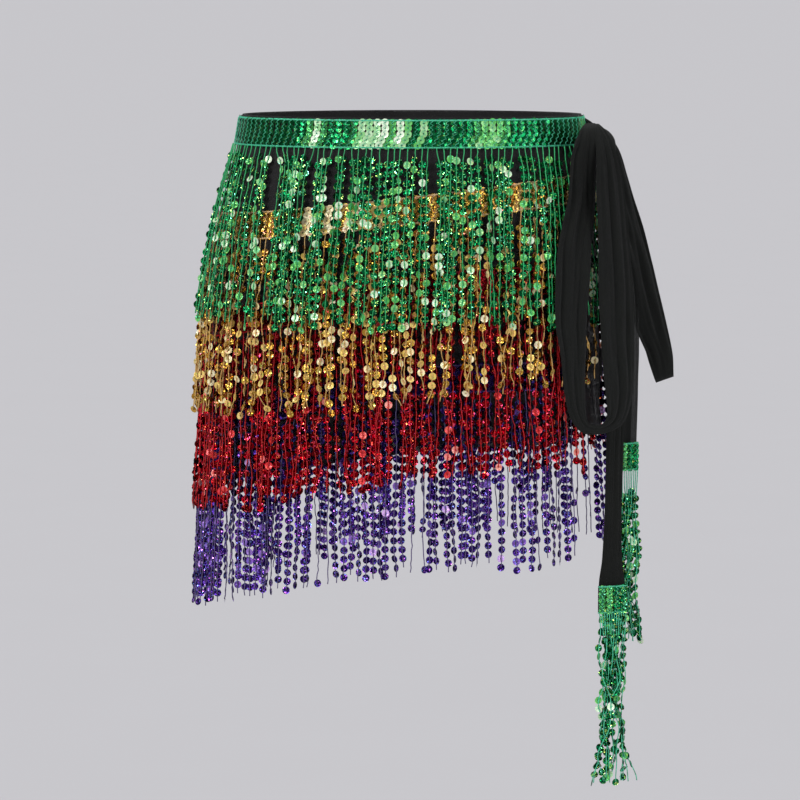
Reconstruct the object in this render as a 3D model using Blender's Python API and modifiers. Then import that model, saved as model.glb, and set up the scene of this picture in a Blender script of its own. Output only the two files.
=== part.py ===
"""Belly dance hip scarf, tied on the right hip and filled out as it is worn.

A panel of black mesh wraps the hips and is open at the right hip. Four sequin bands lie on it, each with a
fringe of hanging strands, and black ties join the ends in a bow. The origin is the middle of the waistband.
The front faces -Y, the knot is at +X, and sizes are in metres.
"""

import math
import random
from typing import NamedTuple

import bmesh
import bpy
import numpy as np
from mathutils import Matrix, Vector

# Driving sizes.
SEAM_GAP = 0.0004
CLOTH_WALL = 0.0012
TIE_WALL = 0.0014
BAND_HEIGHT = 0.024
BAND_WALL = 0.0014
TOP_EDGE = BAND_HEIGHT / 2 + 0.0015
CORD_HEIGHT = 0.003
FRINGE_LENGTH = 0.148
FRINGE_WALL = 0.0014
FRINGE_LEAN = 0.054
FRINGE_OFFSET = 2 * SEAM_GAP + BAND_WALL
LOCKS_PER_TIER = 58
LOCK_SHARE = 0.6
LENGTH_SPREAD = 0.004
WIDTH_SPREAD = 0.12
STRAND_SEED = 11
HANG_STEPS = 6

# The wrap's two upright edges: their angle from the right hip at the waist, and how far the slit opens below.
FRONT_EDGE_ANGLE = math.radians(9)
BACK_EDGE_ANGLE = math.radians(5)
FRONT_OPENING = math.radians(29)
BACK_OPENING = math.radians(6)
OPENING_DEPTH = 0.075

# The panel's hem: its height at the left hip, its rise towards the knot and how soon it rises.
HEM_Z = -0.302
HEM_RISE = 0.040
HEM_REACH = 0.80

# Soft upright folds of the panel, which grow towards the hem.
FOLD_TOP = -0.13
FOLD_FULL = -0.30
FOLD_DEPTH = 0.0022
FOLD_WAVES = ((7, 0.5, 0.6), (12, 2.0, 0.4))


class HipSection(NamedTuple):
    """A level cut of the worn form."""

    z: float
    half_width: float
    front: float
    back: float
    sway: float


HIPS = (
    HipSection(0.014, 0.1460, 0.098, 0.104, 0.0),
    HipSection(-0.012, 0.1500, 0.101, 0.108, -0.0005),
    HipSection(-0.055, 0.1595, 0.106, 0.116, -0.0015),
    HipSection(-0.095, 0.1650, 0.109, 0.121, -0.0030),
    HipSection(-0.130, 0.1688, 0.111, 0.124, -0.0040),
    HipSection(-0.165, 0.1710, 0.112, 0.125, -0.0050),
    HipSection(-0.250, 0.1730, 0.112, 0.124, -0.0050),
    HipSection(-0.330, 0.1745, 0.112, 0.123, -0.0050),
    HipSection(-0.430, 0.1740, 0.112, 0.122, -0.0050),
)
HIP_ROWS = np.array(HIPS)


class Tier(NamedTuple):
    """A sequin band with its fringe: lower edge at the left hip, rise towards the knot, how soon it rises."""

    colour: str
    z: float
    rise: float
    reach: float
    levels: tuple


TIERS = (
    Tier("green", -0.012, 0.0, 1.0, (0.030, 0.062, 0.100, 0.148)),
    Tier("gold", -0.094, 0.038, 1.20, (0.030, 0.062, 0.100, 0.148)),
    Tier("red", -0.178, 0.043, 0.85, (0.074, 0.148)),
    Tier("purple", -0.260, 0.045, 0.78, (0.074, 0.148)),
)


class Station(NamedTuple):
    """A cut across a strip of cloth: its middle, its width with heading from above and tilt, and fold depth."""

    x: float
    y: float
    z: float
    width: float
    heading: float
    tilt: float
    fold: float


LOOP_FRONT = (
    Station(0.1434, -0.0633, -0.0246, 0.0100, 52, -34, 0.0008),
    Station(0.1403, -0.0634, -0.0315, 0.0220, 50, -10, 0.0016),
    Station(0.1416, -0.0622, -0.0400, 0.0325, 49, 0, 0.0026),
    Station(0.1416, -0.0661, -0.0540, 0.0345, 46, 0, 0.0030),
    Station(0.1393, -0.0722, -0.0740, 0.0375, 43, 0, 0.0030),
    Station(0.1357, -0.0792, -0.0980, 0.0395, 40, 0, 0.0030),
    Station(0.1335, -0.0846, -0.1280, 0.0375, 38, 0, 0.0030),
    Station(0.1325, -0.0879, -0.1600, 0.0335, 36, 0, 0.0026),
    Station(0.1347, -0.0874, -0.1850, 0.0280, 37, 2, 0.0020),
    Station(0.1362, -0.0858, -0.2100, 0.0240, 38, 6, 0.0016),
    Station(0.1388, -0.0836, -0.2330, 0.0185, 38, 24, 0.0010),
    Station(0.1450, -0.0795, -0.2470, 0.0110, 40, 55, 0.0006),
    Station(0.1545, -0.0732, -0.2505, 0.0080, 42, 90, 0.0004),
    Station(0.1640, -0.0652, -0.2495, 0.0105, 45, 122, 0.0006),
    Station(0.1728, -0.0595, -0.2420, 0.0230, 45, 152, 0.0014),
    Station(0.1758, -0.0580, -0.2220, 0.0320, 42, 174, 0.0020),
    Station(0.1745, -0.0580, -0.1880, 0.0355, 40, 180, 0.0024),
    Station(0.1725, -0.0595, -0.1400, 0.0380, 40, 180, 0.0026),
    Station(0.1698, -0.0600, -0.0850, 0.0360, 42, 180, 0.0026),
    Station(0.1660, -0.0600, -0.0480, 0.0290, 46, 180, 0.0020),
    Station(0.1580, -0.0581, -0.0270, 0.0120, 50, 177, 0.0008),
)
LOOP_SIDE = (
    Station(0.1618, -0.0368, -0.0244, 0.0090, 56, 35, 0.0006),
    Station(0.1720, -0.0245, -0.0420, 0.0220, 52, 0, 0.0016),
    Station(0.1795, -0.0165, -0.0600, 0.0300, 49, 0, 0.0024),
    Station(0.1903, -0.0080, -0.1000, 0.0365, 44, 0, 0.0028),
    Station(0.1990, -0.0030, -0.1420, 0.0365, 36, 0, 0.0026),
    Station(0.2062, -0.0005, -0.1700, 0.0320, 28, 2, 0.0020),
    Station(0.2147, 0.0000, -0.1950, 0.0235, 22, 8, 0.0012),
    Station(0.2177, 0.0010, -0.2120, 0.0185, 20, 15, 0.0004),
    Station(0.2187, 0.0045, -0.2165, 0.0170, 20, 16, 0.0002),
    Station(0.2172, 0.0080, -0.2110, 0.0180, 20, 15, 0.0004),
    Station(0.2120, 0.0110, -0.1900, 0.0220, 26, 8, 0.0014),
    Station(0.2040, 0.0130, -0.1500, 0.0280, 36, 2, 0.0022),
    Station(0.1945, 0.0080, -0.1000, 0.0280, 46, 0, 0.0024),
    Station(0.1810, -0.0060, -0.0580, 0.0200, 54, 0, 0.0018),
    Station(0.1690, -0.0190, -0.0440, 0.0130, 58, 0, 0.0012),
    Station(0.1550, -0.0340, -0.0325, 0.0080, 60, -8, 0.0008),
    Station(0.1527, -0.0368, -0.0244, 0.0060, 60, 28, 0.0004),
)
TAIL_SHORT = (
    Station(0.1519, -0.0448, -0.0290, 0.0100, 50, 5, 0.0006),
    Station(0.1600, -0.0412, -0.0420, 0.0130, 49, 0, 0.0008),
    Station(0.1680, -0.0395, -0.0600, 0.0200, 48, 0, 0.0018),
    Station(0.1780, -0.0310, -0.1050, 0.0270, 46, 0, 0.0020),
    Station(0.1835, -0.0255, -0.1600, 0.0290, 42, 0, 0.0020),
    Station(0.1827, -0.0272, -0.2200, 0.0280, 36, 0, 0.0014),
    Station(0.1820, -0.0280, -0.2640, 0.0260, 34, 0, 0.0006),
    Station(0.1820, -0.0280, -0.2910, 0.0260, 34, 0, 0.0006),
)
TAIL_LONG = (
    Station(0.1546, -0.0522, -0.0291, 0.0110, 48, 0, 0.0006),
    Station(0.1655, -0.0500, -0.0600, 0.0140, 46, 0, 0.0012),
    Station(0.1730, -0.0465, -0.1100, 0.0170, 42, 0, 0.0014),
    Station(0.1752, -0.0455, -0.1800, 0.0180, 36, 0, 0.0014),
    Station(0.1732, -0.0470, -0.2500, 0.0170, 30, 0, 0.0012),
    Station(0.1718, -0.0480, -0.3200, 0.0160, 24, 0, 0.0010),
    Station(0.1710, -0.0480, -0.3650, 0.0180, 18, 0, 0.0008),
    Station(0.1708, -0.0480, -0.3850, 0.0230, 16, 0, 0.0004),
    Station(0.1708, -0.0480, -0.4115, 0.0230, 16, 0, 0.0004),
)
TIE_FRONT = (
    Station(0.1462, -0.0152, 0.0000, 0.0200, 20, 90, 0.0004),
    Station(0.1502, -0.0146, -0.0020, 0.0170, -20, 90, 0.0006),
    Station(0.1527, -0.0205, -0.0060, 0.0130, -65, 90, 0.0006),
    Station(0.1544, -0.0307, -0.0100, 0.0105, -80, 90, 0.0004),
)
TIE_BACK = (
    Station(0.1477, 0.0086, 0.0000, 0.0200, 132, 90, 0.0004),
    Station(0.1530, 0.0050, -0.0020, 0.0175, 136, 90, 0.0006),
    Station(0.1600, -0.0105, -0.0060, 0.0140, 112, 90, 0.0006),
    Station(0.1689, -0.0323, -0.0100, 0.0105, 105, 90, 0.0004),
)
STRIP_FOLDS = 3
STRIP_POINTS = 11

KNOT_MIDDLE = (0.1538, -0.0511, -0.0120)
KNOT_RADII = (0.0150, 0.0230, 0.0165)
KNOT_YAW = -33
KNOT_RINGS = (16, 10)
KNOT_GROOVES = 5
KNOT_GROOVE_DEPTH = 0.0011

TASSEL_BAND_WIDTH = 0.026
TASSEL_BAND_WALL = 0.0020
TASSEL_LOCKS = 8
TASSEL_LENGTH = 0.150


def smooth_step(share):
    share = min(max(share, 0.0), 1.0)
    return share * share * (3 - 2 * share)


def smooth_row(rows, z):
    """Every column of a table at one height, on a smooth curve through its rows, which go downwards."""
    heights = rows[:, 0]
    upper = min(max(int(np.sum(heights > z)) - 1, 0), len(rows) - 2)
    step = heights[upper + 1] - heights[upper]
    part = min(max((z - heights[upper]) / step, 0.0), 1.0)

    def slope(i):
        before, after = max(i - 1, 0), min(i + 1, len(rows) - 1)
        return (rows[after] - rows[before]) / (heights[after] - heights[before])

    square, cube = part**2, part**3
    return (
        (2 * cube - 3 * square + 1) * rows[upper]
        + (cube - 2 * square + part) * step * slope(upper)
        + (3 * square - 2 * cube) * rows[upper + 1]
        + (cube - square) * step * slope(upper + 1)
    )


def hip_section(z):
    return HipSection(*smooth_row(HIP_ROWS, z))


def fold_offset(angle, z):
    growth = smooth_step((FOLD_TOP - z) / (FOLD_TOP - FOLD_FULL))
    waves = sum(share * math.sin(count * angle + phase) for count, phase, share in FOLD_WAVES)
    return FOLD_DEPTH * growth * waves


def hip_point(angle, z, outward=0.0):
    """A point of the cloth's outer face, or off it. Angle 0 is the knot's hip and -90 degrees the front."""
    section = hip_section(z)
    depth = section.back if math.sin(angle) > 0 else section.front
    normal = Vector((math.cos(angle) / section.half_width, math.sin(angle) / depth, 0)).normalized()
    flat = Vector((section.sway + section.half_width * math.cos(angle), depth * math.sin(angle), z))
    return flat + normal * (outward + fold_offset(angle, z))


def waist_angles():
    """Angles at equal steps along the waist, from the front edge over the left hip to the back edge."""
    angles = np.linspace(-FRONT_EDGE_ANGLE, BACK_EDGE_ANGLE - 2 * math.pi, 721)
    points = [hip_point(angle, 0.0) for angle in angles]
    steps = [(b - a).length for a, b in zip(points, points[1:])]
    lengths = np.concatenate([[0.0], np.cumsum(steps)])
    return lengths / lengths[-1], angles


WAIST_SHARES, WAIST_ANGLES = waist_angles()


def wrap_angle(share, z):
    """The angle of a share of the wrap's width at one height; both edges swing back as the slit opens."""
    opening = 1 - math.exp(min(z, 0.0) / OPENING_DEPTH)
    swing = FRONT_OPENING * (1 - share) ** 2 - BACK_OPENING * share**2
    return np.interp(share, WAIST_SHARES, WAIST_ANGLES) - swing * opening


def wrap_point(share, z, outward=0.0):
    return hip_point(wrap_angle(share, z), z, outward)


def hang_angle(angle, top, bottom):
    """Where a thread from one height crosses a lower one: it slides out square to the hip, not round it."""
    step = (bottom - top) / HANG_STEPS
    for i in range(HANG_STEPS):
        here, below = hip_section(top + step * i), hip_section(top + step * (i + 1))
        sine, cosine = math.sin(angle), math.cos(angle)
        depth, deeper = (here.back, below.back) if sine > 0 else (here.front, below.front)
        width, wider = here.half_width, below.half_width
        spread = width * (wider - width) - depth * (deeper - depth)
        angle += spread * sine * cosine / ((width * sine) ** 2 + (depth * cosine) ** 2)
    return angle


def rise_at(share, rise, reach):
    return rise * smooth_step(abs(2 * share - 1) / reach)


def lean(drop):
    """How far a strand's inner face stands off the cloth at a drop below its root."""
    return FRINGE_OFFSET + FRINGE_LEAN * drop


def material(name, colour, roughness, metallic=0.0):
    made = bpy.data.materials.new(name)
    made.use_nodes = True
    shader = made.node_tree.nodes["Principled BSDF"]
    shader.inputs["Base Color"].default_value = (*colour, 1.0)
    shader.inputs["Roughness"].default_value = roughness
    shader.inputs["Metallic"].default_value = metallic
    return made


def make_object(name, shape, finish, collection):
    """An object of the shape built so far, with its faces turned outward."""
    bmesh.ops.recalc_face_normals(shape, faces=shape.faces)
    mesh = bpy.data.meshes.new(name)
    shape.to_mesh(mesh)
    shape.free()
    mesh.materials.append(finish)
    made = bpy.data.objects.new(name, mesh)
    collection.objects.link(made)
    return made


def make_wall(name, inner, outer, finish, collection):
    """A closed wall between two matching grids of points, whose rows run along the wrap."""
    shape = bmesh.new()
    inside = [[shape.verts.new(point) for point in row] for row in inner]
    outside = [[shape.verts.new(point) for point in row] for row in outer]
    last = len(inner[0]) - 1
    for row in range(len(inner) - 1):
        for i in range(last):
            # The rows swing away from the slit, so each half has its own short diagonal.
            split = 1 if i < last / 2 else 0
            for grid in (inside, outside):
                corners = (grid[row][i], grid[row][i + 1], grid[row + 1][i + 1], grid[row + 1][i])
                for corner in (split, split + 2):
                    shape.faces.new([corners[(corner + k) % 4] for k in range(3)])
        for i in (0, last):
            shape.faces.new((inside[row][i], outside[row][i], outside[row + 1][i], inside[row + 1][i]))
    for row in (0, len(inner) - 1):
        for i in range(last):
            shape.faces.new((inside[row][i], outside[row][i], outside[row][i + 1], inside[row][i + 1]))
    return make_object(name, shape, finish, collection)


def station_shares():
    """The shares at which the wrap is cut, so that what lies on it has the same flats."""
    return [i / LOCKS_PER_TIER for i in range(LOCKS_PER_TIER + 1)]


def band_foot(tier, share):
    return tier.z + rise_at(share, tier.rise, tier.reach)


def panel_levels(share):
    """Heights at which the panel is cut: its edges, and the edges of each band that lies on it."""
    heights = [TOP_EDGE]
    for tier in TIERS:
        foot = band_foot(tier, share)
        heights += [foot + BAND_HEIGHT, foot]
    heights.append(HEM_Z + rise_at(share, HEM_RISE, HEM_REACH))
    return heights


def make_panel(finish, collection):
    columns = [(share, panel_levels(share)) for share in station_shares()]
    inner, outer = [], []
    for row in range(len(columns[0][1])):
        inner.append([wrap_point(share, heights[row], -CLOTH_WALL) for share, heights in columns])
        outer.append([wrap_point(share, heights[row]) for share, heights in columns])
    return make_wall("cloth_panel", inner, outer, finish, collection)


def make_band(name, tier, finish, collection):
    shares = station_shares()
    inner, outer = [], []
    for lift in (BAND_HEIGHT, 0.0):
        heights = [band_foot(tier, share) + lift for share in shares]
        inner.append([wrap_point(share, z, SEAM_GAP) for share, z in zip(shares, heights)])
        outer.append([wrap_point(share, z, SEAM_GAP + BAND_WALL) for share, z in zip(shares, heights)])
    return make_wall(name, inner, outer, finish, collection)


def lock_cuts(count, spread):
    """Shares along a bar: its two ends and, between them, the two sides of each strand."""
    cuts = [0.0]
    for i in range(count):
        half = 0.5 * LOCK_SHARE * (1 + spread.uniform(-WIDTH_SPREAD, WIDTH_SPREAD))
        cuts += [(i + 0.5 - half) / count, (i + 0.5 + half) / count]
    return [*cuts, 1.0]


def make_locks(name, rings, strands, finish, collection):
    """A bar through rings of four points, with a strand under each odd stretch of it, all in one piece.

    A ring goes from its upper inner corner to the upper outer, lower outer and lower inner ones. A strand is
    a list of levels, each with four points: inner and outer on one side, then outer and inner on the other.
    """
    shape = bmesh.new()
    bar = [[shape.verts.new(point) for point in ring] for ring in rings]
    shape.faces.new(bar[0])
    shape.faces.new(bar[-1])
    for number, (one, two) in enumerate(zip(bar, bar[1:])):
        hangs = number % 2 == 1
        for i in range(4):
            j = (i + 1) % 4
            if not (hangs and i == 2):
                shape.faces.new((one[i], two[i], two[j], one[j]))
        if hangs:
            above = [one[3], one[2], two[2], two[3]]
            for level in strands[number // 2]:
                below = [shape.verts.new(point) for point in level]
                for i in range(4):
                    j = (i + 1) % 4
                    shape.faces.new((above[i], above[j], below[j], below[i]))
                above = below
            shape.faces.new(above)
    return make_object(name, shape, finish, collection)


def cord_ring(tier, share):
    foot = band_foot(tier, share)
    inner, outer = lean(0.0), lean(0.0) + FRINGE_WALL
    corners = ((foot + CORD_HEIGHT, inner), (foot + CORD_HEIGHT, outer), (foot, outer), (foot, inner))
    return [wrap_point(share, z, off) for z, off in corners]


def strand_levels(tier, first, second, stretch):
    """Four corners at each level of a strand that hangs between two shares of a band's width."""
    foot = band_foot(tier, (first + second) / 2)
    left, right = wrap_angle(first, foot), wrap_angle(second, foot)
    levels = []
    for drop in tier.levels:
        z = foot - drop * stretch
        one, two = hang_angle(left, foot, z), hang_angle(right, foot, z)
        near, far = lean(drop), lean(drop) + FRINGE_WALL
        corners = ((one, near), (one, far), (two, far), (two, near))
        levels.append([hip_point(angle, z, off) for angle, off in corners])
    return levels


def make_fringe(name, tier, spread, finish, collection):
    """A narrow cord along a band's lower edge, with the strands that hang from it."""
    cuts = lock_cuts(LOCKS_PER_TIER, spread)
    rings = [cord_ring(tier, share) for share in cuts]
    strands = []
    for i in range(LOCKS_PER_TIER):
        stretch = 1 + spread.uniform(-LENGTH_SPREAD, LENGTH_SPREAD) / FRINGE_LENGTH
        strands.append(strand_levels(tier, cuts[2 * i + 1], cuts[2 * i + 2], stretch))
    return make_locks(name, rings, strands, finish, collection)


def width_direction(station):
    heading, tilt = math.radians(station.heading), math.radians(station.tilt)
    level = Vector((math.cos(heading), math.sin(heading), 0))
    return level * math.cos(tilt) + Vector((0, 0, 1)) * math.sin(tilt)


def outward_direction(station):
    heading = math.radians(station.heading)
    return Vector((math.sin(heading), -math.cos(heading), 0))


def make_strip(name, stations, finish, collection):
    """A strip of cloth through its stations, with folds that run along it."""
    shape = bmesh.new()
    rows = []
    for station in stations:
        across, out = width_direction(station), outward_direction(station)
        row = []
        for i in range(STRIP_POINTS):
            part = i / (STRIP_POINTS - 1)
            wave = math.sin(2 * math.pi * STRIP_FOLDS * part) * station.fold
            middle = Vector((station.x, station.y, station.z))
            row.append(shape.verts.new(middle + across * station.width * (part - 0.5) + out * wave))
        rows.append(row)
    for upper, lower in zip(rows, rows[1:]):
        for i in range(STRIP_POINTS - 1):
            shape.faces.new((upper[i], upper[i + 1], lower[i + 1], lower[i]))
    made = make_object(name, shape, finish, collection)
    made.data.shade_smooth()
    wall = made.modifiers.new("wall", "SOLIDIFY")
    wall.thickness = TIE_WALL
    wall.offset = 0.0
    return made


def make_knot(finish, collection):
    """The wrapped knot, with grooves where its turns of cloth meet."""
    shape = bmesh.new()
    around, up = KNOT_RINGS
    aligned = Matrix.Rotation(math.radians(KNOT_YAW), 3, "Z")
    bmesh.ops.create_uvsphere(shape, u_segments=around, v_segments=up, radius=1.0)
    for vert in shape.verts:
        turn = math.atan2(vert.co.z, vert.co.x)
        groove = KNOT_GROOVE_DEPTH * (1 - abs(vert.co.y)) * math.cos(KNOT_GROOVES * turn + 3 * vert.co.y)
        size = Vector(KNOT_RADII) - Vector((groove, 0, groove))
        vert.co = Vector(KNOT_MIDDLE) + aligned @ (vert.co * size)
    made = make_object("knot", shape, finish, collection)
    made.data.shade_smooth()
    return made


def make_tassel(name, end, spread, finish, collection):
    """The sequin band across a tail's end, with the strands that hang from its lower edge."""
    across, out = width_direction(end), outward_direction(end)
    root = Vector((end.x, end.y, end.z)) + out * (TIE_WALL / 2 + end.fold + SEAM_GAP)
    wall, height = out * TASSEL_BAND_WALL, Vector((0, 0, BAND_HEIGHT))
    feet = [root + across * TASSEL_BAND_WIDTH * (cut - 0.5) for cut in lock_cuts(TASSEL_LOCKS, spread)]
    rings = [(foot + height, foot + height + wall, foot + wall, foot) for foot in feet]
    strands = []
    for i in range(TASSEL_LOCKS):
        drop = Vector((0, 0, -TASSEL_LENGTH - spread.uniform(-LENGTH_SPREAD, LENGTH_SPREAD)))
        left, right = feet[2 * i + 1] + drop, feet[2 * i + 2] + drop
        strands.append([(left, left + wall, right + wall, right)])
    return make_locks(name, rings, strands, finish, collection)


def main():
    for leftover in list(bpy.data.objects):
        bpy.data.objects.remove(leftover)
    scarf = bpy.data.collections.new("hip_scarf")
    bpy.context.scene.collection.children.link(scarf)
    black_mesh = material("black_mesh", (0.012, 0.012, 0.012), 0.75)
    black_tie = material("black_tie", (0.010, 0.010, 0.010), 0.80)
    sequins = {
        "green": material("green_sequins", (0.010, 0.290, 0.090), 0.25, 0.6),
        "gold": material("gold_sequins", (0.620, 0.330, 0.060), 0.25, 0.7),
        "red": material("red_sequins", (0.420, 0.010, 0.012), 0.25, 0.6),
        "purple": material("purple_sequins", (0.090, 0.020, 0.330), 0.25, 0.6),
    }
    spread = random.Random(STRAND_SEED)
    make_panel(black_mesh, scarf)
    for tier in TIERS:
        band = "waistband" if tier.colour == "green" else f"band_{tier.colour}"
        make_band(band, tier, sequins[tier.colour], scarf)
        make_fringe(f"fringe_{tier.colour}", tier, spread, sequins[tier.colour], scarf)
    make_strip("tie_front", TIE_FRONT, black_tie, scarf)
    make_strip("tie_back", TIE_BACK, black_tie, scarf)
    make_knot(black_tie, scarf)
    make_strip("loop_front", LOOP_FRONT, black_tie, scarf)
    make_strip("loop_side", LOOP_SIDE, black_tie, scarf)
    make_strip("tail_short", TAIL_SHORT, black_tie, scarf)
    make_strip("tail_long", TAIL_LONG, black_tie, scarf)
    make_tassel("tassel_short", TAIL_SHORT[-1], spread, sequins["green"], scarf)
    make_tassel("tassel_long", TAIL_LONG[-1], spread, sequins["green"], scarf)


main()
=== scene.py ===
"""Belly dance hip scarf: the cloth, sequins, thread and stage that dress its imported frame.

The frame gives where each piece lies. The tables below repeat its sizes, in metres: the front faces -Y and the
bow is at +X. A place on the wrap is a share of its width, from 0 at the front edge to 1 at the back edge.
"""

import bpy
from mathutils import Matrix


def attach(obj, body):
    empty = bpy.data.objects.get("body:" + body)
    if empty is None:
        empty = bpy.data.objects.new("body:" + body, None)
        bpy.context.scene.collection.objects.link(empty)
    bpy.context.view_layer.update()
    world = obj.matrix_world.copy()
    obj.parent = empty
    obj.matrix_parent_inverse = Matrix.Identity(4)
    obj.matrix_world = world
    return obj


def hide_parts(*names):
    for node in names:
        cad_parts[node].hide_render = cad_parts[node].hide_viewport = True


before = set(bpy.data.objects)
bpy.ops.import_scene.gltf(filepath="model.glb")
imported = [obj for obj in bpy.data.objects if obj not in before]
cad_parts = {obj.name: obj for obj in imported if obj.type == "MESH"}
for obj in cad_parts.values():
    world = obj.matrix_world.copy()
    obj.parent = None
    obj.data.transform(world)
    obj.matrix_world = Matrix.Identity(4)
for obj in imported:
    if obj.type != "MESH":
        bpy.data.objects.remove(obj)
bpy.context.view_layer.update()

import math
from collections import namedtuple

import bmesh
import bpy
import numpy as np
from bpy.props import FloatProperty, FloatVectorProperty, IntProperty, PointerProperty
from mathutils import Vector

bl_info = {
    "name": "Hip Scarf",
    "version": (1, 0, 0),
    "blender": (4, 5, 0),
    "location": "3D View > Sidebar > Hip Scarf",
    "description": "Dresses the frame of a sequin hip scarf with cloth, sequins and thread",
    "category": "Object",
}

# The worn form: height, half width, depth in front and behind, and sideways shift.
HIPS = np.array(
    (
        (0.014, 0.1460, 0.098, 0.104, 0.0),
        (-0.012, 0.1500, 0.101, 0.108, -0.0005),
        (-0.055, 0.1595, 0.106, 0.116, -0.0015),
        (-0.095, 0.1650, 0.109, 0.121, -0.0030),
        (-0.130, 0.1688, 0.111, 0.124, -0.0040),
        (-0.165, 0.1710, 0.112, 0.125, -0.0050),
        (-0.250, 0.1730, 0.112, 0.124, -0.0050),
        (-0.330, 0.1745, 0.112, 0.123, -0.0050),
        (-0.430, 0.1740, 0.112, 0.122, -0.0050),
    )
)
FRONT_EDGE_ANGLE = math.radians(9)
BACK_EDGE_ANGLE = math.radians(5)
FRONT_OPENING = math.radians(29)
BACK_OPENING = math.radians(6)
OPENING_DEPTH = 0.075
FOLD_TOP, FOLD_FULL, FOLD_DEPTH = -0.13, -0.30, 0.0022
FOLD_WAVES = ((7, 0.5, 0.6), (12, 2.0, 0.4))

# The panel and its bands.
TOP_EDGE = 0.0135
CLOTH_MIDDLE = -0.0006
HEM = (-0.302, 0.040, 0.80)
BAND_HEIGHT = 0.024
BAND_FACE = 0.0018
SEAM_GAP = 0.0004
FRINGE_LENGTH = 0.148
FRINGE_ROOT = 0.0029
FRINGE_LEAN = 0.054

# Each tier: its name, its band's node, the lower edge at the left hip, its rise towards the knot, how soon it rises.
TIERS = (
    ("green", "waistband", -0.012, 0.0, 1.0),
    ("gold", "band_gold", -0.094, 0.038, 1.20),
    ("red", "band_red", -0.178, 0.043, 0.85),
    ("purple", "band_purple", -0.260, 0.045, 0.78),
)

# How each tier's strings hang: how far the sequins turn and nod, how far the strings wander, the share of strings
# that lose their sequins low down, the shares of sequins painted as catching the light fully and in part (painted
# highlights), how far the strings gather in bunches, how many strings there are against the setting, how far each
# sequin turns on its own, and how dark the sequins are painted that hang under the fringe above (painted shade).
Mood = namedtuple("Mood", "yaw nod wander bare full part bunching plenty own_turn shade")
STRING_MOODS = {
    "green": Mood(24, 11, 0.0014, 0.02, 0.095, 0.13, 0.0030, 1.08, 0.7, 0.0),
    "gold": Mood(40, 14, 0.0026, 0.03, 0.115, 0.24, 0.0030, 1.04, 0.9, 0.15),
    "red": Mood(32, 13, 0.0024, 0.02, 0.014, 0.04, 0.0022, 1.25, 0.7, 0.80),
    "purple": Mood(34, 8, 0.0013, 0.14, 0.020, 0.10, 0.0036, 1.08, 0.3, 0.90),
}

TASSEL_MOOD = Mood(32, 14, 0, 0.1, 0.06, 0.14, 0, 1, 0.8, 0)

# How far the hues of the foil's flecks range.
FLECK_HUES = {"green": 0.27, "gold": 0.30, "red": 0.07, "purple": 0.18}

# Where the strings part and show the mesh: the share of the wrap's width and half the gap's width.
STRING_GAPS = {
    "green": (
        (0.383, 0.0064),
        (0.3345, 0.0050),
        (0.3120, 0.0042),
        (0.2920, 0.0036),
        (0.205, 0.0040),
        (0.110, 0.0050),
    )
}

# Where one tier's strings crowd: the middle of the crowd, its reach and how much denser it is.
STRING_CROWD = {"purple": (0.47, 0.06, 0.8)}

# Where each band shines, as painted highlights: the share of the wrap's width, half the patch's width and how
# strongly.
# Then how toned the rest of the band is, darker on the bands under a fringe as painted shade, and how broken up its
# shine is.
BAND_GLOW = {
    "green": (
        (0.3405, 0.0075, 0.85),
        (0.2800, 0.0140, 0.72),
        (0.2680, 0.0060, 1.0),
        (0.2470, 0.0090, 1.0),
        (0.2255, 0.0035, 0.95),
        (0.1470, 0.0160, 0.52),
        (0.0080, 0.0120, 0.45),
        (0.75, 0.02, 0.8),
        (0.82, 0.01, 0.6),
    ),
    "gold": (
        (0.3085, 0.0095, 1.0),
        (0.2840, 0.0085, 1.0),
        (0.2600, 0.0090, 1.0),
        (0.2370, 0.0180, 0.55),
        (0.0800, 0.0080, 0.6),
        (0.74, 0.05, 0.6),
    ),
    "red": ((0.27, 0.01, 0.3), (0.7, 0.02, 0.4)),
    "purple": ((0.72, 0.02, 0.3),),
    "tassel": ((0.3, 0.2, 0.2),),
}
BAND_TONE_AND_SHADE = {"green": 0.97, "gold": 0.55, "red": 0.2, "purple": 0.1, "tassel": 0.55}
BAND_GLINT = {"green": 0.22, "gold": 0.7, "red": 0.3, "purple": 0.1, "tassel": 0.7}

# How a band is sewn: its rows of sequins, the zigzag that holds each column, and the chain stitch on its edges.
BAND_ROWS, FIRST_ROW, ROW_STEP = 5, 0.0026, 0.0047
ZIGZAG_TURNS, ZIGZAG_SWAY, ZIGZAG_RADIUS = 13, 0.0011, 0.00033
EDGE_INSET, EDGE_SWING, EDGE_RADIUS = 0.0008, 0.00042, 0.00055
TAPE_LIFTS = np.array((BAND_HEIGHT, 0.016, 0.008, 0.0))

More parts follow.
